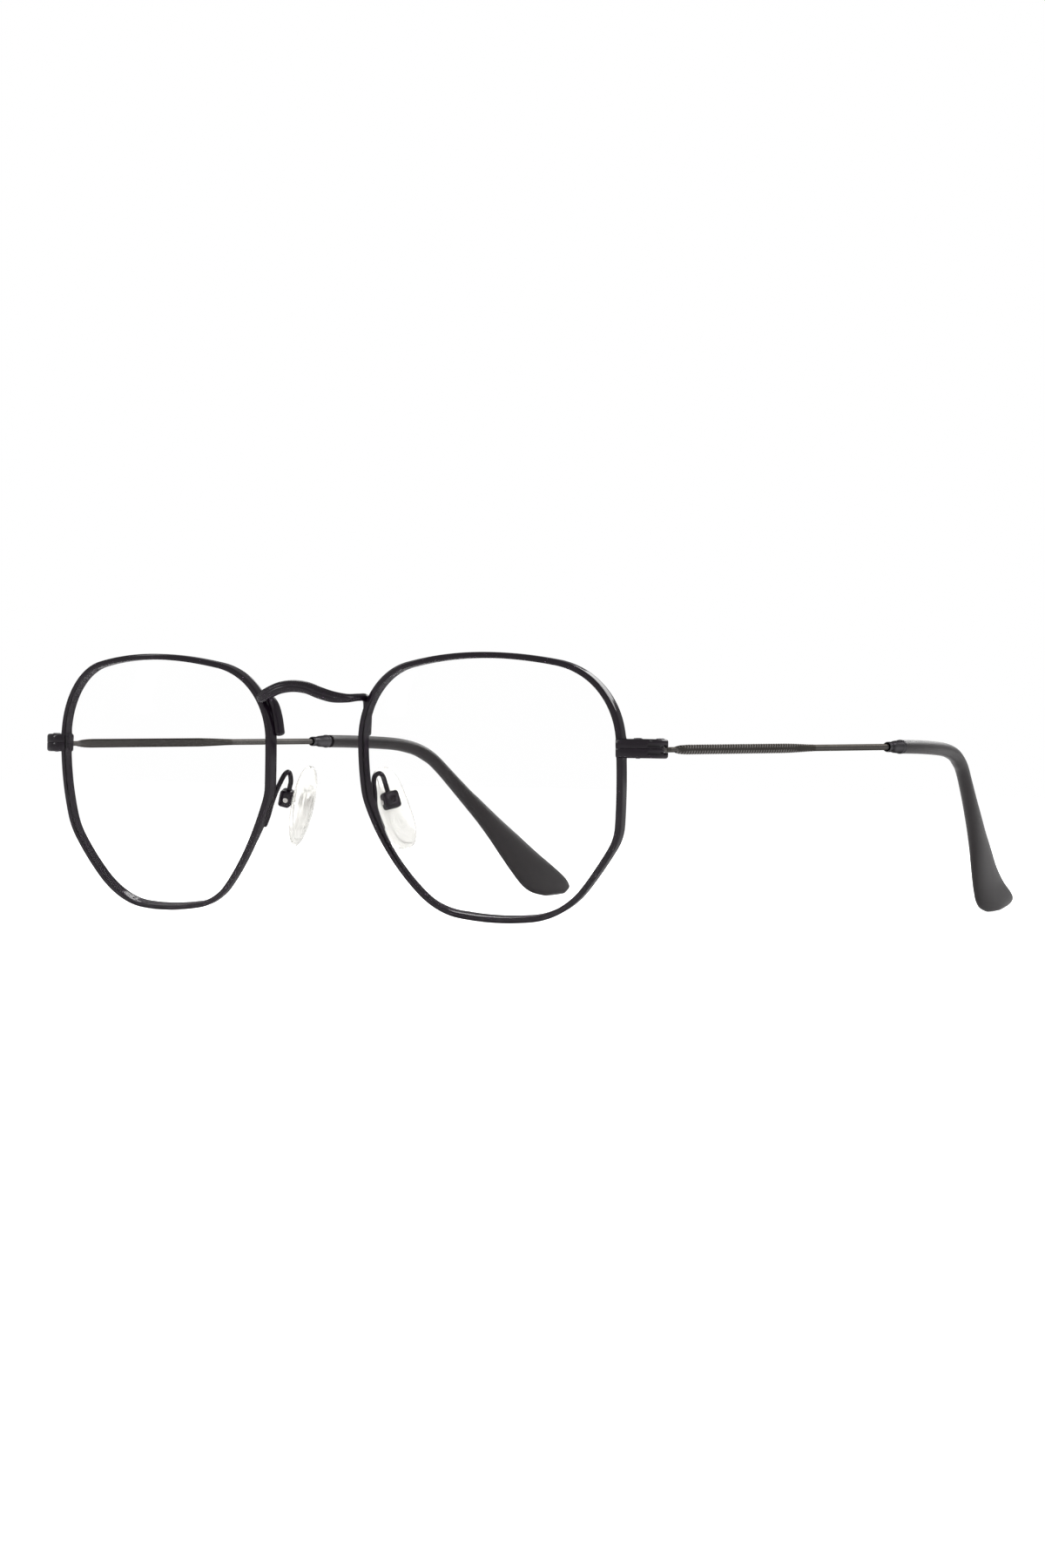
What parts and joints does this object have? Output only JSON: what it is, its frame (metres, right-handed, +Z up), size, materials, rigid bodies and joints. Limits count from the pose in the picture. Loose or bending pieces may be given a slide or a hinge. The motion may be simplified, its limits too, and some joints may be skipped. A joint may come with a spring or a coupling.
{
  "type": "metal-framed glasses",
  "caption": "Lightweight metal-framed computer glasses with softly six-sided clear lenses, adjustable nose pads, a raised bridge and folding wire temples with moulded ear tips",
  "frame": {"origin": "on the ground, midway between the temples and midway between the bridge and the ends of the temple tips", "axes": "+X towards the wearer's left, +Y back along the temples, +Z up; the glasses stand on their lower rims and temple tips"},
  "size_m": [0.1344, 0.1596, 0.0457],
  "materials": {
    "black_lacquer": "glossy black lacquer",
    "satin_grey_metal": "satin dark grey plating",
    "clear_lens": "clear, coated against reflections",
    "dark_screw": "blackened steel",
    "bright_screw": "bright steel",
    "clear_silicone": "clear soft silicone",
    "clear_insert": "clear hard plastic",
    "matt_tip": "satin charcoal acetate"
  },
  "bodies": {
    "front": {"rim_right": "black_lacquer", "rim_left": "black_lacquer", "lens_right": "clear_lens", "lens_left": "clear_lens", "bridge": "black_lacquer", "endpiece_upper_right": "black_lacquer", "endpiece_upper_left": "black_lacquer", "endpiece_lower_right": "black_lacquer", "endpiece_lower_left": "black_lacquer", "rim_screw_right": "dark_screw", "rim_screw_left": "dark_screw", "hinge_screw_right": "dark_screw", "hinge_screw_left": "dark_screw", "pad_arm_right": "black_lacquer", "pad_arm_left": "black_lacquer", "pad_box_right": "black_lacquer", "pad_box_left": "black_lacquer", "pad_screw_right": "bright_screw", "pad_screw_left": "bright_screw"},
    "pad_right": {"nose_pad_right": "clear_silicone", "pad_core_right": "clear_insert"},
    "temple_right": {"temple_wire_right": "satin_grey_metal", "tip_collar_right": "black_lacquer", "temple_tip_right": "matt_tip"},
    "pad_left": {"nose_pad_left": "clear_silicone", "pad_core_left": "clear_insert"},
    "temple_left": {"temple_wire_left": "satin_grey_metal", "tip_collar_left": "black_lacquer", "temple_tip_left": "matt_tip"}
  },
  "joints": [
    {"name": "temple_fold_right", "type": "hinge", "parent": "front", "child": "temple_right", "pos_m": [-0.0659, -0.06398, 0.02949], "axis": [-0.0122, 0, -0.9999], "range_deg": [0, 77]},
    {"name": "temple_fold_left", "type": "hinge", "parent": "front", "child": "temple_left", "pos_m": [0.0659, -0.06398, 0.02949], "axis": [0.0122, 0, 0.9999], "range_deg": [0, 83]},
    {"name": "pad_rock_right", "type": "hinge", "parent": "front", "child": "pad_right", "pos_m": [-0.01145, -0.06584, 0.02026], "axis": [-0.4128, 0.8841, 0.2192], "range_deg": [-8, 8]},
    {"name": "pad_rock_left", "type": "hinge", "parent": "front", "child": "pad_left", "pos_m": [0.01145, -0.06584, 0.02026], "axis": [0.4128, 0.8841, 0.2192], "range_deg": [-8, 8]}
  ]
}
